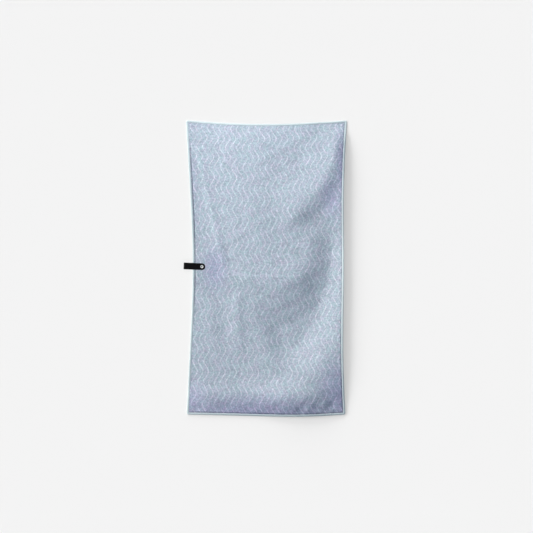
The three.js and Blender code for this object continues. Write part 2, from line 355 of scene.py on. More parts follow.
# The cloth's two surfaces: the folds, and over them the thickness, thinner under the edge thread, with
# the groove, puckers and unevenness.
def clothSurfaces(across, down):
    x, y = clothPlan(across, down)
    inward = edgeDistance(across, down)
    pinch = cloth["pinch"]
    pinched = 1 - smooth(inward / pinch["reach"])
    under = clothHeight(x, y) + pinch["under"] * pinched
    uneven = softUnevenness(x, y) * smooth(inward / cloth["calmReach"]) * (1 - riseShare(x, y))
    detail = puckerHeight(across, down) + uneven - groove["deep"] * grooveShare(across, down)
    return x, y, under, under + cloth["thickness"] - pinch["top"] * pinched + detail


(frontFinish, backFinish, edgeFinish, stitchFinish, strapFinish, capFinish, darkMetal, dullMetal,
 floorFinish) = map(bpy.data.materials.new, (
     "printedMicrofibre", "plainMicrofibre", "edgeThread", "stitchThread", "blackWebbing", "enamelledCap",
     "darkSnapMetal", "dullSnapMetal", "paleFloor"))

# Painted lilac shade, placed where the folds and edges fall into shade: x, y, half width, half height and
# share, faded out at paintedShadeSpread times the half sizes.
paintedShadeSpread = 1.4
paintedShadePatches = [
    (-128, 0, 34, 60, 0.65),
    (190, -320, 60, 90, 0.85),
    (-30, -376, 260, 58, 1.0),
    (-190, -345, 60, 60, 0.7),
    (196, 250, 22, 120, 0.75),
    (170, 180, 34, 62, 0.6),
    (-195, 180, 20, 130, 0.4),
]


# Lines across a length: the close ones by each end, and even steps between them.
def gridLines(size):
    fine = np.array(cloth["edgeLines"])
    count = round((size - 2 * fine[-1]) / cloth["step"])
    middle = np.linspace(fine[-1], size - fine[-1], count + 1)[1:-1]
    return np.concatenate([fine, middle, size - fine[::-1]])


# The cloth: a closed sheet over a grid of the cut, which is its UV map. Painted lilac shade in patches and
# painted shade along the groove are attributes.
def makeCloth():
    across, down = roundCorners(*np.meshgrid(gridLines(cutWidth), gridLines(cutLength)))
    x, y, under, top = clothSurfaces(across, down)
    rows, columns = x.shape
    upper = np.stack([x, y, top], -1).reshape(-1, 3)
    lower = np.stack([x, y, under], -1).reshape(-1, 3)
    count = rows * columns
    front = gridFaces(rows, columns)[:, ::-1]
    back = gridFaces(rows, columns) + count
    index = np.arange(count).reshape(rows, columns)
    rim = np.concatenate([index[0, :-1], index[:-1, -1], index[-1, :0:-1], index[:0:-1, 0]])
    nextRim = np.roll(rim, -1)
    walls = np.stack([rim, nextRim, nextRim + count, rim + count], -1)
    faces = np.concatenate([front, back, walls])
    piece = makePiece("towelCloth", np.concatenate([upper, lower]), faces, frontFinish)
    mesh = piece.data
    mesh.materials.append(backFinish)
    slots = np.zeros(len(mesh.polygons), int)
    slots[len(front):] = 1
    mesh.polygons.foreach_set("material_index", slots)
    flat = np.tile(np.stack([across / cutWidth, 1 - down / cutLength], -1).reshape(-1, 2), (2, 1))
    corner = np.zeros(len(mesh.loops), int)
    mesh.loops.foreach_get("vertex_index", corner)
    cut = mesh.uv_layers.new(name="flatCut")
    cut.data.foreach_set("uv", flat[corner].ravel())
    # Painted lilac shade: the lilac attribute is largest in the patches where the folds and edges fall into
    # shade.
    lilac = 0 * x
    for patchX, patchY, halfWide, halfHigh, share in paintedShadePatches:
        reach = np.hypot((x - patchX) / halfWide, (y - patchY) / halfHigh)
        lilac = np.maximum(lilac, share * bell(reach / paintedShadeSpread))
    # Painted shade: the groove's share darkens the colour along the sewn groove.
    shade = grooveShare(across, down)
    for name, values in (("lilac", lilac), ("paintedGrooveShade", shade)):
        attribute = mesh.attributes.new(name, "FLOAT", "POINT")
        attribute.data.foreach_set("value", np.tile(values.ravel(), 2).astype(np.float32))
    return piece


towelCloth = makeCloth()
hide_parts("towel_cloth")
print("cloth:", len(towelCloth.data.polygons), "faces")

# Overlocked edge: a band of thread, and a row of needle stitches inside it.
edgeBand = {
    "over": 0.35,  # out past the cloth's edge
    "inner": 4.9,
    "low": 0.05,
    "high": 1.95,
    "lowest": 0.02,
    "sidePower": 0.8,  # below 1, the section is squarer than an oval
    "risePower": 0.7,
    "pitch": 2.0,
    "samples": 5,  # stations in one wrap
    "around": 14,
    "ridge": 0.2,
    "ridgePower": 0.7,
    "ridgeMiddle": 0.6,
    "turns": 3,  # half turns by which a wrap slants round the section
}
needle = {"at": 4.3, "base": 1.55, "pitch": 3.4, "long": 2.7, "radius": 0.27, "high": 0.3, "steps": 7,
          "sides": 6, "ends": (0.04, 0.96)}


# Perimeter of the cut by length along it: straight sides and quarter turns, as points a corner radius
# inside it and directions outwards.
def perimeter(along):
    radius = cloth["cornerRadius"]
    sides = np.array([cutWidth - 2 * radius, cutLength - 2 * radius] * 2)
    spans = sides + math.pi / 2 * radius
    side = np.minimum(np.searchsorted(np.cumsum(spans), along, "right"), 3)
    past = along - (np.cumsum(spans) - spans)[side]
    step = np.minimum(past, sides[side])
    turn = (past - step) / radius
    startAcross = np.array([radius, cutWidth - radius, cutWidth - radius, radius])[side]
    startDown = np.array([radius, radius, cutLength - radius, cutLength - radius])[side]
    headAcross, headDown = np.array([1, 0, -1, 0])[side], np.array([0, 1, 0, -1])[side]
    outAcross = headDown * np.cos(turn) + headAcross * np.sin(turn)
    outDown = headDown * np.sin(turn) - headAcross * np.cos(turn)
    return startAcross + headAcross * step, startDown + headDown * step, outAcross, outDown


# Length of the perimeter: straight sides and one full turn.
edgeLength = 2 * (cutWidth + cutLength - 4 * cloth["cornerRadius"]) + 2 * math.pi * cloth["cornerRadius"]


# Points by the edge: so far along the perimeter, inwards, and up from the underside.
def edgePoint(along, inward, height):
    across, down, outAcross, outDown = perimeter(along)
    out = cloth["cornerRadius"] - inward
    x, y = clothPlan(across + out * outAcross, down + out * outDown)
    return np.stack([x, y, clothHeight(x, y) + height], -1)


# Edge band: a flat tube along the perimeter, raised into slanting wraps by a cosine.
def makeEdgeBand():
    count = round(edgeLength / edgeBand["pitch"]) * edgeBand["samples"]
    along = (np.arange(count) / count * edgeLength)[:, None]
    around = (np.arange(edgeBand["around"]) / edgeBand["around"] * 2 * np.pi)[None, :]
    halfWide = (edgeBand["over"] + edgeBand["inner"]) / 2
    halfHigh = (edgeBand["high"] - edgeBand["low"]) / 2
    side, rise = np.cos(around), np.sin(around)
    flatSide = np.sign(side) * np.abs(side) ** edgeBand["sidePower"]
    flatRise = np.sign(rise) * np.abs(rise) ** edgeBand["risePower"]
    wrap = np.abs(np.cos(np.pi * along / edgeBand["pitch"] + edgeBand["turns"] * around / 2))
    ridge = edgeBand["ridge"] * (wrap ** edgeBand["ridgePower"] - edgeBand["ridgeMiddle"])
    inward = (edgeBand["inner"] - edgeBand["over"]) / 2 - flatSide * (halfWide + ridge)
    height = (edgeBand["high"] + edgeBand["low"]) / 2 + flatRise * halfHigh + np.maximum(rise, 0) * ridge
    along, inward, height = np.broadcast_arrays(along, inward, np.maximum(height, edgeBand["lowest"]))
    points = edgePoint(along.copy(), inward, height)
    faces = gridFaces(count, edgeBand["around"], True, True)
    return makePiece("edgeBinding", points, faces, edgeFinish)


# Needle stitches: short threads by the band's inner line, each a tube arched by a sine, its radius the root
# of that sine.
def makeStitches():
    count = round(edgeLength / needle["pitch"])
    steps, sides = needle["steps"], needle["sides"]
    first = (np.arange(count) / count * edgeLength)[:, None, None]
    step = np.linspace(0, 1, steps)[None, :, None]
    around = (np.arange(sides) / sides * 2 * np.pi)[None, None, :]
    radius = needle["radius"] * np.sqrt(np.sin(np.pi * np.clip(step, *needle["ends"])))
    along = (first + step * needle["long"]) % edgeLength
    inward = needle["at"] - radius * np.cos(around)
    height = needle["base"] + needle["high"] * np.sin(np.pi * step) + radius * np.sin(around)
    along, inward, height = np.broadcast_arrays(along, inward, height)
    points = edgePoint(along.copy(), inward, height)
    begin = (np.arange(count) * steps * sides)[:, None, None]
    tubes = gridFaces(steps, sides, False, True)[None] + begin
    ends = np.array([[3, 2, 1, 0], [5, 4, 3, 0], [0, 1, 2, 3], [0, 3, 4, 5]])
    ends[2:] += (steps - 1) * sides
    faces = np.concatenate([tubes.reshape(-1, 4), (ends[None] + begin).reshape(-1, 4)])
    return makePiece("needleStitches", points, faces, stitchFinish)


edgeBinding = makeEdgeBand()
needleStitches = makeStitches()
print("edge:", len(edgeBinding.data.polygons) + len(needleStitches.data.polygons), "faces")


# The strap's path in its upright plane: lower layer, half a turn, and upper layer.
def strapPath(along):
    middle = strap["gap"] / 2 + strap["thickness"]
    lowerLength = strapTip - middle
    turn = np.clip((along - lowerLength) / foldRadius, 0, np.pi)
    beyond = np.maximum(along - lowerLength - np.pi * foldRadius, 0)
    onLower = along < lowerLength
    u = np.where(onLower, strapTip - along, middle - foldRadius * np.sin(turn)) + beyond
    z = middle - foldRadius * np.cos(turn) + strap["riseHeight"] * ramp(u, strap["rise"]) * onLower
    return u, z


# Length of the strap: two straight layers and the half turn between them.
def strapLength():
    return 2 * (strapTip - strap["gap"] / 2 - strap["thickness"]) + math.pi * foldRadius


# World place of a strap point: turned by the tilt about the strap's start.
def strapToWorld(u, v, z):
    x = strap["start"][0] + u * math.cos(strapTurn) - v * math.sin(strapTurn)
    y = strap["start"][1] + u * math.sin(strapTurn) + v * math.cos(strapTurn)
    return np.stack([x, y, z + 0 * x], -1)


# Woven face: cords along the strap as half sines across it, each dipping under the cross threads in turn
# with its neighbours. The selvedges stay smooth.
def weaveRelief(along, across):
    place = (across / strap["width"] + 0.5) * strap["cords"]
    cord = np.floor(place)
    bulge = np.sin(np.pi * (place - cord))
    crossing = 0.5 + 0.5 * np.cos(np.pi * (along / strap["pick"] + cord))
    inside = smooth((strap["width"] / 2 - np.abs(across)) / strap["selvedge"])
    return strap["relief"] * inside * (bulge * mix((strap["dip"], 1), crossing) * 2 - 1)


# The strap: stations along the path, each a flat section with round edges, narrowing to round ends.
def makeStrap():
    total = strapLength()
    radius = strap["width"] / 2
    endTurn = np.linspace(strap["endStart"], np.pi / 2, strap["endStations"] + 1)[:-1]
    endStations = radius * (1 - np.cos(endTurn))
    inner = np.linspace(radius, total - radius, round((total - 2 * radius) / strap["station"]))
    along = np.concatenate([endStations, inner, total - endStations[::-1]])
    toEnd = np.minimum(np.minimum(along, total - along), radius)
    halfWide = np.sqrt(radius ** 2 - (radius - toEnd) ** 2)[:, None]
    u, z = strapPath(along)
    slopeU, slopeZ = np.gradient(u, along), np.gradient(z, along)
    size = np.hypot(slopeU, slopeZ)
    outU, outZ = (-slopeZ / size)[:, None], (slopeU / size)[:, None]
    p = np.linspace(-1, 1, strap["across"] + 1)[None, :]
    q = p * (1 + strap["crowding"] * (1 - p * p))
    across = q * halfWide
    endFall = np.minimum(1, np.sqrt(np.maximum(toEnd, 0) / strap["endFall"]))[:, None]
    edgeFall = np.sqrt(np.clip(1 - np.abs(q) ** strap["edgePower"], 0, 1))
    outer = strap["thickness"] / 2 * edgeFall * endFall + weaveRelief(along[:, None], across) * edgeFall
    upper = strapToWorld(u[:, None] + outU * outer, across, z[:, None] + outZ * outer)
    lower = strapToWorld(u[:, None] - outU * outer, across, z[:, None] - outZ * outer)
    points = np.concatenate([upper, lower[:, -2:0:-1]], 1)
    rows, columns = points.shape[:2]
    faces = gridFaces(rows, columns, False, True)[:, ::-1]
    half = strap["across"]
    top = np.arange(half)
    bottom = (columns - top) % columns
    cap = np.stack([top, top + 1, (columns - top - 1) % columns, bottom], -1)[1:-1]
    ends = np.array([[0, 1, columns - 1, columns - 1], [half - 1, half, half + 1, half + 1]])
    first = np.concatenate([cap, ends])
    last = first[:, ::-1] + (rows - 1) * columns
    return makePiece("webbingStrap", points, np.concatenate([faces, first, last]), strapFinish)


webbingStrap = makeStrap()
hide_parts("hang_strap")
print("strap:", len(webbingStrap.data.polygons), "faces")

# The snap's profiles of radius and height. One that starts and ends at radius 0 is closed there.
snap = {
    "segments": 96,
    "softening": 2,  # rounds of corner cutting
    "cutShare": 0.2,
    "ring": [(1.6, 7.1), (1.95, 7.1), (2.2, 7.2), (2.2, 8.6), (4.6, 8.6), (5.0, 8.75), (4.95, 9.0),
             (4.5, 9.2), (4.05, 9.25), (3.9, 9.5), (2.8, 9.5), (2.15, 9.4), (1.7, 9.15), (1.6, 8.7)],
    "bareRing": (1.9, 3.5),  # radii between which the cap is bare metal
    "bareBlur": 0.1,
    "bareMetallic": 0.75,
    "bareDark": (0.68, 0.66, 0.62),
    "bareBright": (0.78, 0.76, 0.72),
    "enamel": (0.006, 0.006, 0.007),
    "socket": [(0, 6.4), (1.6, 6.4), (2.4, 6.35), (2.5, 6.1), (2.5, 5.3), (2.6, 5.0), (4.3, 5.0),
               (4.6, 5.2), (4.6, 6.5), (4.35, 6.75), (3.6, 6.8), (1.5, 6.8), (0, 6.8)],
    "stud": [(0, 5.7), (1.5, 5.7), (1.6, 5.6), (1.6, 4.4), (1.75, 4.2), (4.2, 4.2), (4.4, 4.35),
             (4.35, 4.65), (2.3, 4.7), (1.85, 4.85), (1.85, 5.2), (2.1, 5.5), (2.05, 5.9), (1.7, 6.1),
             (0, 6.1)],
    "post": [(0, 0), (3.9, 0), (4.2, 0.15), (4.15, 0.42), (3.6, 0.5), (1.6, 0.5), (1.3, 0.75),
             (1.3, 5.1), (1.1, 5.4), (0, 5.4)],
}


# Corner cutting: each corner gives way to points a share of the way along its two sides.
def softenProfile(profile, closed):
    line = np.array(profile, float)
    far = snap["cutShare"]
    for _ in range(snap["softening"]):
        following = np.roll(line, -1, 0)
        cut = np.stack([mix((line, following), far), mix((line, following), 1 - far)], 1).reshape(-1, 2)
        line = cut if closed else np.concatenate([line[:1], cut[1:-2], line[-1:]])
    return line


# Turned piece: radius times the sine and cosine of the turn, at the profile's heights.
def makeTurned(name, profile, material):
    closed = profile[0][0] > 0
    line = softenProfile(profile, closed)
    turn = np.arange(snap["segments"])[:, None] / snap["segments"] * 2 * np.pi
    body = line if closed else line[1:-1]
    u = strap["snapAt"] + body[None, :, 0] * np.cos(turn)
    v = body[None, :, 0] * np.sin(turn)
    points = strapToWorld(u, v, body[None, :, 1]).reshape(-1, 3)
    columns = len(body)
    faces = gridFaces(snap["segments"], columns, True, closed).tolist()
    if not closed:
        ring = np.arange(snap["segments"]) * columns
        following = np.roll(ring, -1)
        poles = strapToWorld(np.full(2, strap["snapAt"]), np.zeros(2), line[[0, -1], 1])
        firstPole, lastPole = len(points), len(points) + 1
        points = np.concatenate([points, poles])
        faces += np.stack([np.full_like(ring, firstPole), ring, following], -1).tolist()
        ends = ring + columns - 1
        faces += np.stack([ends, np.full_like(ring, lastPole), np.roll(ends, -1)], -1).tolist()
    mesh = bpy.data.meshes.new(name)
    mesh.from_pydata((points * millimetre).tolist(), [], faces)
    return finishPiece(name, mesh, material)


snapRing = makeTurned("snapRing", snap["ring"], capFinish)
snapSocket = makeTurned("snapSocket", snap["socket"], darkMetal)
snapStud = makeTurned("snapStud", snap["stud"], dullMetal)
snapPost = makeTurned("snapPost", snap["post"], dullMetal)
for piece, node, slot in ((snapRing, "snap_ring", "snap_bright"), (snapSocket, "snap_socket", "snap_dull"),
                          (snapStud, "snap_stud", "snap_dull"), (snapPost, "snap_post", "snap_dull")):
    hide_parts(node)
print("snap: four turned pieces")


# A socket fed by another node's socket, or set to a plain value.
def feed(tree, socket, value):
    if isinstance(value, bpy.types.NodeSocket):
        tree.links.new(value, socket)
    else:
        socket.default_value = value


# A node with its settings made and its inputs fed.
def addNode(tree, kind, inputs=None, **settings):
    node = tree.nodes.new(kind)
    for name, value in settings.items():
        setattr(node, name, value)
    for key, value in (inputs or {}).items():
        feed(tree, node.inputs[key], value)
    return node


# One step of arithmetic on sockets and numbers.
def calculate(tree, operation, *values):
    return addNode(tree, "ShaderNodeMath", dict(enumerate(values)), operation=operation).outputs[0]


# Sum of values, each times its share.
def weigh(tree, *pairs):
    parts = [calculate(tree, "MULTIPLY", value, share) for value, share in pairs]
    total = parts[0]
    for part in parts[1:]:
        total = calculate(tree, "ADD", total, part)
    return total


# Value less its middle, times a factor.
def centre(tree, value, middle, factor):
    return calculate(tree, "MULTIPLY", calculate(tree, "SUBTRACT", value, middle), factor)


# Step of a value from one range to another, smooth unless it is said to be linear.
def remap(tree, value, low, high, toLow, toHigh, interpolation="SMOOTHSTEP"):
    inputs = {"Value": value, "From Min": low, "From Max": high, "To Min": toLow, "To Max": toHigh}
    return addNode(tree, "ShaderNodeMapRange", inputs, interpolation_type=interpolation).outputs["Result"]


# Vector times a number.
def scaleVector(tree, vector, factor):
    node = addNode(tree, "ShaderNodeVectorMath", {"Vector": vector, "Scale": factor}, operation="SCALE")
    return node.outputs[0]


# Vector times a second and plus a third, part by part.
def multiplyAdd(tree, vector, times, plus):
    inputs = {0: vector, 1: times, 2: plus}
    return addNode(tree, "ShaderNodeVectorMath", inputs, operation="MULTIPLY_ADD").outputs[0]


# Noise of about 0 to 1, with its scale in waves a millimetre.
def noise(tree, vector, scale, detail=2, roughness=0.5):
    inputs = {"Vector": vector, "Scale": scale, "Detail": detail, "Roughness": roughness}
    return addNode(tree, "ShaderNodeTexNoise", inputs).outputs["Fac"]


# Mix of two colours, or colours multiplied, by a share.
def mixColours(tree, share, first, second, blend="MIX"):
    node = addNode(tree, "ShaderNodeMix", {"Factor": share}, data_type="RGBA", blend_type=blend)
    for socket, value in ((node.inputs[6], first), (node.inputs[7], second)):
        feed(tree, socket, value if isinstance(value, bpy.types.NodeSocket) else (*value, 1))
    return node.outputs[2]


# An empty node group: a vector and named numbers in, and numbers out.
def newGroup(name, vector, numbers, outputs):
    group = bpy.data.node_groups.new(name, "ShaderNodeTree")
    group.interface.new_socket(vector, in_out="INPUT", socket_type="NodeSocketVector")
    for label, value in numbers.items():
        socket = group.interface.new_socket(label, in_out="INPUT", socket_type="NodeSocketFloat")
        socket.default_value = value
    for label in outputs:
        group.interface.new_socket(label, in_out="OUTPUT", socket_type="NodeSocketFloat")
    start = group.nodes.new("NodeGroupInput")
    end = group.nodes.new("NodeGroupOutput")
    return group, start.outputs, end.inputs


# A group placed in a material with the material's own values.
def useGroup(tree, group, **inputs):
    node = addNode(tree, "ShaderNodeGroup", node_tree=group)
    for name, value in inputs.items():
        feed(tree, node.inputs[name], value)
    return node.outputs


# The print: upright zigzag lines in step with each other, over the flat cut.
printed = {
    "pitch": 14.85,
    "first": 15.6,  # from the left edge
    "swing": 6.4,
    "peakShare": 0.03,  # of the swing, three times as fast, for keener peaks
    "period": 56.25,
    "peakAt": 29.8,  # down from the top edge
    "stretch": 16,  # the top is drawn out by this much over the next length
    "stretchLength": 190,
    "lineWidth": 2.2,
    "softness": 0.7,
    "wobble": 2.8,
    "wobbleScale": 0.12,
    "patchScale": 0.045,
    "breakScale": 0.3,
    "breakShare": 0.4,
    "fading": (0.36, 0.64),
    "strength": (0.2, 0.8),
}


# Line mask: the distance to the nearest line, which swings by a cosine down the cut and is moved by noise,
# and a strength that comes and goes along it.
def makeWavePrint():
    tree, given, made = newGroup("wavePrint", "Cut", {}, ["Line", "Strength"])
    parts = addNode(tree, "ShaderNodeSeparateXYZ", {"Vector": given["Cut"]}).outputs
    across, down = parts["X"], parts["Y"]
    share = calculate(tree, "DIVIDE", down, printed["stretchLength"])
    early = calculate(tree, "MAXIMUM", calculate(tree, "SUBTRACT", 1, share), 0)
    drawn = calculate(tree, "MULTIPLY", calculate(tree, "MULTIPLY", early, early), printed["stretch"])
    undrawn = calculate(tree, "SUBTRACT", down, drawn)
    turn = centre(tree, undrawn, printed["peakAt"], 2 * math.pi / printed["period"])
    thrice = calculate(tree, "MULTIPLY", turn, 3)
    swing = weigh(tree, (calculate(tree, "COSINE", turn), printed["swing"]),
                  (calculate(tree, "COSINE", thrice), printed["peakShare"] * printed["swing"]))
    wobble = centre(tree, noise(tree, given["Cut"], printed["wobbleScale"], 3), 0.5, printed["wobble"])
    offset = calculate(tree, "SUBTRACT", calculate(tree, "SUBTRACT", across, swing), printed["first"])
    offset = calculate(tree, "ADD", offset, wobble)
    half = printed["pitch"] / 2
    nearest = calculate(tree, "ABSOLUTE", calculate(tree, "WRAP", offset, half, -half))
    steepest = 2 * math.pi * printed["swing"] / printed["period"]
    slope = calculate(tree, "MULTIPLY", calculate(tree, "SINE", turn), steepest)
    lean = calculate(tree, "SQRT", calculate(tree, "ADD", calculate(tree, "MULTIPLY", slope, slope), 1))
    square = calculate(tree, "DIVIDE", nearest, lean)
    half, soft = printed["lineWidth"] / 2, printed["softness"]
    feed(tree, made["Line"], remap(tree, square, half - soft, half + soft, 1, 0))
    patches = noise(tree, given["Cut"], printed["patchScale"], 3, 0.6)
    breaks = noise(tree, given["Cut"], printed["breakScale"], 2, 0.6)
    together = weigh(tree, (patches, 1 - printed["breakShare"]), (breaks, printed["breakShare"]))
    feed(tree, made["Strength"], remap(tree, together, *printed["fading"], *printed["strength"]))
    return tree


# The pile. Each noise of the tone and the tint has its scale, detail, roughness and share.
plush = {
    "tuft": 1.5,  # millimetres
    "fibres": 5,  # across a tuft
    "tuftShare": 0.75,
    "tone": [(0.12, 3, 0.6, 0.22), (0.035, 2, 0.5, 0.13), (0.25, 3, 0.7, 1.25)],
    "toneMiddle": 0.8,
    "toneContrast": 6,
    "toneShare": 0.19,
    "tintPlace": (71, 33, 12),  # moves the tint's noise off the tone's
    "tint": [(0.07, 2, 0.6, 0.4), (0.24, 2, 0.6, 0.6)],
    "tintRange": (0.35, 0.65),
    # Painted shade: the share by which the colour is darkened in the groove.
    "paintedShadeInGroove": -0.5,
    "roughness": (0.98, 0.86),
    "deep": 0.8,  # millimetres
}


# Pile: noise for tufts and finer fibres as the height, of three sizes as the tone and of two as the tint.
def makePlushPile():
    tree, given, made = newGroup("plushPile", "Place", {"Tuft": plush["tuft"]}, ["Tone", "Tint", "Height"])
    place = given["Place"]
    tufts = noise(tree, place, calculate(tree, "DIVIDE", 1, given["Tuft"]), 3, 0.6)
    fibres = noise(tree, place, calculate(tree, "DIVIDE", plush["fibres"], given["Tuft"]), 2, 0.6)
    height = weigh(tree, (tufts, plush["tuftShare"]), (fibres, 1 - plush["tuftShare"]))
    feed(tree, made["Height"], height)
    parts = [(noise(tree, place, *row), share) for *row, share in plush["tone"]]
    tone = centre(tree, weigh(tree, *parts), plush["toneMiddle"], plush["toneContrast"])
    feed(tree, made["Tone"], tone)
    moved = multiplyAdd(tree, place, (1, 1, 1), plush["tintPlace"])
    parts = [(noise(tree, moved, *row), share) for *row, share in plush["tint"]]
    feed(tree, made["Tint"], remap(tree, weigh(tree, *parts), *plush["tintRange"], 0, 1))
    return tree


thread = {
    "bandScale": 0.3,
    "bend": 2.5,
    "bandShare": 0.6,
    "fadingScale": 0.05,
    "faded": (0.9, 1.08),
    "toneShare": 0.12,
    "roughness": (0.9, 0.68),
}


# Twisted thread: fine slanting bands, bent by noise, with a fuzz of fibres, as a height and a tone.
def makeThreadTwist():
    tree, given, made = newGroup("threadTwist", "Place", {"Size": 0.35}, ["Tone", "Height"])
    scale = calculate(tree, "DIVIDE", 1, given["Size"])
    wide = calculate(tree, "MULTIPLY", scale, thread["bandScale"])
    inputs = {"Vector": given["Place"], "Scale": wide, "Distortion": thread["bend"], "Detail": 2,
              "Detail Scale": 2}
    bands = addNode(tree, "ShaderNodeTexWave", inputs, bands_direction="DIAGONAL").outputs["Fac"]
    fibres = noise(tree, given["Place"], scale, 3, 0.7)
    height = weigh(tree, (bands, thread["bandShare"]), (fibres, 1 - thread["bandShare"]))
    feed(tree, made["Height"], height)
    feed(tree, made["Tone"], centre(tree, height, 0.5, 2))
    return tree


metal = {
    "scratchTurn": 0.6,  # radians
    "scratchStretch": (0.5, 6, 3),
    "scratchScale": 1.2,
    "cloudScale": 0.35,
    "deep": 0.02,
    "dulled": 0.9,
}


# Handled metal: fine scratches from stretched noise over a soft cloudiness, as a tone and a roughness.
def makeHandledMetal():
    numbers = {"Smoothest": 0.25, "Roughest": 0.5}
    tree, given, made = newGroup("handledMetal", "Place", numbers, ["Tone", "Roughness", "Height"])
    stretch = {"Vector": given["Place"], "Rotation": (0, 0, metal["scratchTurn"]),
               "Scale": metal["scratchStretch"]}
    stretched = addNode(tree, "ShaderNodeMapping", stretch).outputs[0]
    scratches = noise(tree, stretched, metal["scratchScale"], 3, 0.7)
    clouds = noise(tree, given["Place"], metal["cloudScale"], 3, 0.6)
    together = weigh(tree, (scratches, 0.5), (clouds, 0.5))
    feed(tree, made["Tone"], centre(tree, together, 0.5, 2))
    feed(tree, made["Roughness"],
         remap(tree, together, 0.35, 0.65, given["Smoothest"], given["Roughest"], "LINEAR"))
    feed(tree, made["Height"], scratches)
    return tree


wavePrint = makeWavePrint()
plushPile = makePlushPile()
threadTwist = makeThreadTwist()
handledMetal = makeHandledMetal()


# A material's tree, its shader with plain values set, and its Object place in millimetres.
def startMaterial(material, **constants):
    material.use_nodes = True
    tree = material.node_tree
    tree.nodes.clear()
    shader = addNode(tree, "ShaderNodeBsdfPrincipled")
    for name, value in constants.items():
        shader.inputs[name.replace("_", " ")].default_value = value
    addNode(tree, "ShaderNodeOutputMaterial", {"Surface": shader.outputs[0]})
    place = scaleVector(tree, addNode(tree, "ShaderNodeTexCoord").outputs["Object"], 1000)
    return tree, shader, place


# Height as a bump of so many millimetres on the shader.
def bumpShader(tree, shader, height, deep):
    bump = addNode(tree, "ShaderNodeBump", {"Height": height, "Distance": deep * millimetre, "Strength": 1})
    feed(tree, shader.inputs["Normal"], bump.outputs["Normal"])


# Colour times one plus an amount of a tone of about -1 to 1.
def shadeColour(tree, colour, tone, amount):
    return scaleVector(tree, colour, calculate(tree, "ADD", calculate(tree, "MULTIPLY", tone, amount), 1))


# Red, green and blue; aqua and lilac are tints that multiply the others, and paintedShadeLilac is painted
# shade that multiplies them in patches.
clothColours = {
    "ground": (0.303, 0.357, 0.414),
    "line": (0.520, 0.545, 0.600),
    "back": (0.50, 0.55, 0.61),
    "aqua": (0.91, 1.035, 1.01),
    "lilac": (1.07, 0.96, 1.05),
    "paintedShadeLilac": (0.93, 0.83, 1.015),
    "rim": (0.41, 0.49, 0.52),
    "stitch": (0.42, 0.50, 0.53),
}


# Plush: printed or plain colour, tinted and toned by the pile, darkened by painted shade in the groove and
# by painted lilac shade in patches.
def finishCloth(material, withPrint):
    tree, shader, place = startMaterial(material, Sheen_Weight=0.22, Sheen_Roughness=0.45,
                                        Specular_IOR_Level=0.15)
    pile = useGroup(tree, plushPile, Place=place, Tuft=plush["tuft"])
    if withPrint:
        flatCut = addNode(tree, "ShaderNodeUVMap", uv_map="flatCut").outputs["UV"]
        cut = multiplyAdd(tree, flatCut, (cutWidth, -cutLength, 0), (0, cutLength, 0))
        wave = useGroup(tree, wavePrint, Cut=cut)
        share = calculate(tree, "MULTIPLY", wave["Line"], wave["Strength"])
        colour = mixColours(tree, share, clothColours["ground"], clothColours["line"])
    else:
        back = clothColours["back"]
        colour = mixColours(tree, pile["Tint"], back, [c * 1.05 for c in back])
    tints = mixColours(tree, pile["Tint"], clothColours["aqua"], clothColours["lilac"])
    colour = mixColours(tree, 1.0, colour, tints, "MULTIPLY")
    # Painted shade: a darker lilac mixed in by the lilac attribute where the folds and edges fall into
    # shade.
    paintedShadeColour = mixColours(tree, 1.0, colour, clothColours["paintedShadeLilac"], "MULTIPLY")
    lilac = addNode(tree, "ShaderNodeAttribute", attribute_name="lilac").outputs["Fac"]
    colour = shadeColour(tree, mixColours(tree, lilac, colour, paintedShadeColour), pile["Tone"], plush["toneShare"])
    # Painted shade along the sewn groove.
    paintedShadeMask = addNode(tree, "ShaderNodeAttribute", attribute_name="paintedGrooveShade").outputs["Fac"]
    feed(tree, shader.inputs["Base Color"], shadeColour(tree, colour, paintedShadeMask, plush["paintedShadeInGroove"]))
    feed(tree, shader.inputs["Roughness"], remap(tree, pile["Height"], 0.3, 0.7, *plush["roughness"]))
    bumpShader(tree, shader, pile["Height"], plush["deep"])


finishCloth(frontFinish, True)
finishCloth(backFinish, False)


# Thread: its colour toned by the twist and by wide soft fading.
def finishThread(material, colour, size, deep, sheen, specular):
    tree, shader, place = startMaterial(material, Sheen_Weight=sheen, Sheen_Roughness=0.4,
                                        Specular_IOR_Level=specular)
    twist = useGroup(tree, threadTwist, Place=place, Size=size)
    fading = noise(tree, place, thread["fadingScale"], 3, 0.6)
    shade = mixColours(tree, fading, *([c * share for c in colour] for share in thread["faded"]))
    feed(tree, shader.inputs["Base Color"], shadeColour(tree, shade, twist["Tone"], thread["toneShare"]))
    feed(tree, shader.inputs["Roughness"], remap(tree, twist["Height"], 0.2, 0.8, *thread["roughness"]))
    bumpShader(tree, shader, twist["Height"], deep)


finishThread(edgeFinish, clothColours["rim"], size=0.3, deep=0.12, sheen=0.12, specular=0.2)
finishThread(stitchFinish, clothColours["stitch"], size=0.2, deep=0.06, sheen=0.12, specular=0.2)
finishThread(strapFinish, (0.003, 0.003, 0.0035), size=0.25, deep=0.08, sheen=0.0, specular=0.05)


# Handled metal in a material: its roughness, its bump and a mix of two colours.
def addWear(tree, shader, place, smoothest, roughest, low, high):
    wear = useGroup(tree, handledMetal, Place=place, Smoothest=smoothest, Roughest=roughest)
    feed(tree, shader.inputs["Roughness"], wear["Roughness"])
    bumpShader(tree, shader, wear["Height"], metal["deep"])
    return mixColours(tree, remap(tree, wear["Tone"], -0.4, 0.4, 0, 1), low, high)


# Metal: its colour and roughness clouded and scratched by handling.
def finishMetal(material, colour):
    tree, shader, place = startMaterial(material, Metallic=1.0)
    worn = addWear(tree, shader, place, 0.35, 0.6, [c * metal["dulled"] for c in colour], colour)
    feed(tree, shader.inputs["Base Color"], worn)


finishMetal(darkMetal, (0.10, 0.10, 0.105))
finishMetal(dullMetal, (0.42, 0.42, 0.43))


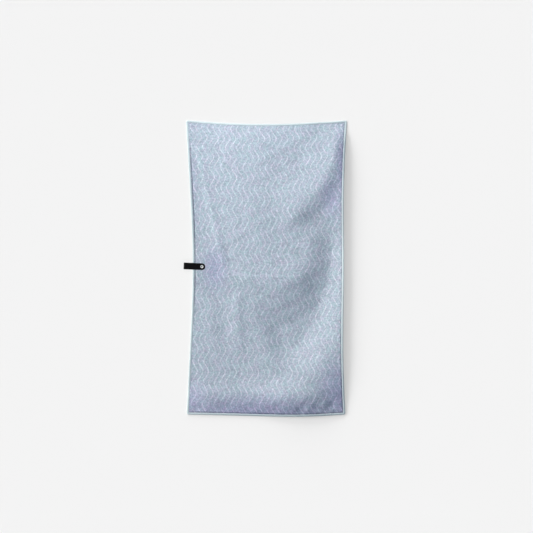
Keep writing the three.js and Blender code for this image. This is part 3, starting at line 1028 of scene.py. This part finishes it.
# Cap: black enamel with a bare ring, by the distance in plan from the snap's axis.
def finishCap():
    tree, shader, place = startMaterial(capFinish, Specular_IOR_Level=0.4)
    axisX, axisY, _ = strapToWorld(strap["snapAt"], 0, 0)
    inPlan = multiplyAdd(tree, place, (1, 1, 0), (-axisX, -axisY, 0))
    distance = addNode(tree, "ShaderNodeVectorMath", {0: inPlan}, operation="LENGTH").outputs["Value"]
    blur = snap["bareBlur"]
    inner, outer = snap["bareRing"]
    bare = calculate(tree, "MULTIPLY", remap(tree, distance, inner - blur, inner + blur, 0, 1),
                     remap(tree, distance, outer - blur, outer + blur, 1, 0))
    worn = addWear(tree, shader, place, 0.3, 0.5, snap["bareDark"], snap["bareBright"])
    feed(tree, shader.inputs["Base Color"], mixColours(tree, bare, snap["enamel"], worn))
    feed(tree, shader.inputs["Metallic"], calculate(tree, "MULTIPLY", bare, snap["bareMetallic"]))


finishCap()
print("materials: cloth, threads, strap and snap")

# Studio: a pale floor, an even surround, and soft lights. The towel has its own, so that its folds are lit
# from low on the left while its shadow stays short and pale.
studio = {
    "floorSize": 80,  # metres
    "floorHeight": -0.0004,  # metres
    "floorColour": (0.80, 0.80, 0.80),
    "floorGrain": 0.995,
    "surround": 0.224,
}
# Power in watts a square metre for a sun and watts for an area light; angles in degrees, the turn upwards
# from the left; places in metres.
studioLights = [
    {"name": "floorLeft", "on": "floor", "power": 2.0, "wide": 30, "elevation": 25, "turn": 15},
    {"name": "floorFar", "on": "floor", "power": 2.0, "wide": 26, "elevation": 14, "turn": 72},
    {"name": "floorTop", "on": "floor", "power": 1.52, "wide": 20, "elevation": 90, "turn": 36},
    {"name": "towelKey", "on": "towel", "power": 6.6, "wide": 14, "elevation": 18, "turn": 36,
     "tint": (1.07, 1.00, 0.90)},
    {"name": "towelTop", "on": "towel", "power": 0.74, "wide": 60, "elevation": 90, "turn": 36,
     "tint": (0.81, 1.00, 1.28)},
    {"name": "topEnd", "on": "towel", "power": 3.0, "size": 0.5, "elevation": 60, "turn": 70,
     "aim": (-0.13, 0.43, 0), "away": 0.6},
]


# Floor: one square with a faint grain.
def makeFloor():
    half = studio["floorSize"] / 2
    corners = [(x * half, y * half, studio["floorHeight"]) for x, y in ((-1, -1), (1, -1), (1, 1), (-1, 1))]
    mesh = bpy.data.meshes.new("floor")
    mesh.from_pydata(corners, [], [(0, 1, 2, 3)])
    mesh.materials.append(floorFinish)
    floor = addObject("floor", mesh)
    tree, shader, place = startMaterial(floorFinish, Roughness=0.9, Specular_IOR_Level=0.1)
    low = [c * studio["floorGrain"] for c in studio["floorColour"]]
    grain = noise(tree, place, 0.004, 2)
    feed(tree, shader.inputs["Base Color"], mixColours(tree, grain, low, studio["floorColour"]))
    return floor


# A sun, or an area light at a distance from what it aims at.
def makeLight(row):
    isArea = "aim" in row
    lamp = bpy.data.lights.new(row["name"], "AREA" if isArea else "SUN")
    lamp.energy = row["power"]
    lamp.color = row.get("tint", (1, 1, 1))
    light = addObject(row["name"], lamp)
    elevation, turn = math.radians(row["elevation"]), math.radians(180 - row["turn"])
    light.rotation_euler = (0, math.pi / 2 - elevation, turn)
    if isArea:
        lamp.size = row["size"]
        side = math.cos(elevation)
        towards = (side * math.cos(turn), side * math.sin(turn), math.sin(elevation))
        light.location = [aim + row["away"] * part for aim, part in zip(row["aim"], towards)]
    else:
        lamp.angle = math.radians(row["wide"])
    return light


# Each light reaches only its own receivers, and only the cloth blocks it.
def makeStudio():
    clothPieces = [towelCloth, edgeBinding, needleStitches]
    otherPieces = [webbingStrap, snapRing, snapSocket, snapStud, snapPost]
    lit = {"floor": [makeFloor()], "towel": clothPieces + otherPieces}
    for row in studioLights:
        light = makeLight(row)
        for use, pieces in (("receiver", lit[row["on"]]), ("blocker", clothPieces)):
            linked = bpy.data.collections.new(row["name"] + use)
            for piece in pieces:
                linked.objects.link(piece)
            setattr(light.light_linking, use + "_collection", linked)
    world = bpy.data.worlds.new("surround")
    bpy.context.scene.world = world
    world.use_nodes = True
    surround = world.node_tree.nodes["Background"]
    surround.inputs["Color"].default_value = (1, 1, 1, 1)
    surround.inputs["Strength"].default_value = studio["surround"]


# The camera looks straight down here, and its picture spans this width of floor, in metres.
view = {"centre": (0.00306, 0.00472), "across": 1.359, "lens": 85, "sensor": 36}


# Camera at the height where the lens and sensor, in millimetres, give the width.
def makeCamera():
    lens = bpy.data.cameras.new("camera")
    lens.sensor_width = view["sensor"]
    lens.lens = view["lens"]
    camera = addObject("camera", lens)
    camera.location = (*view["centre"], view["across"] * view["lens"] / view["sensor"])
    bpy.context.scene.camera = camera


makeStudio()
makeCamera()
bpy.context.scene.view_settings.view_transform = "Standard"
print("studio:", len(studioLights), "lights")
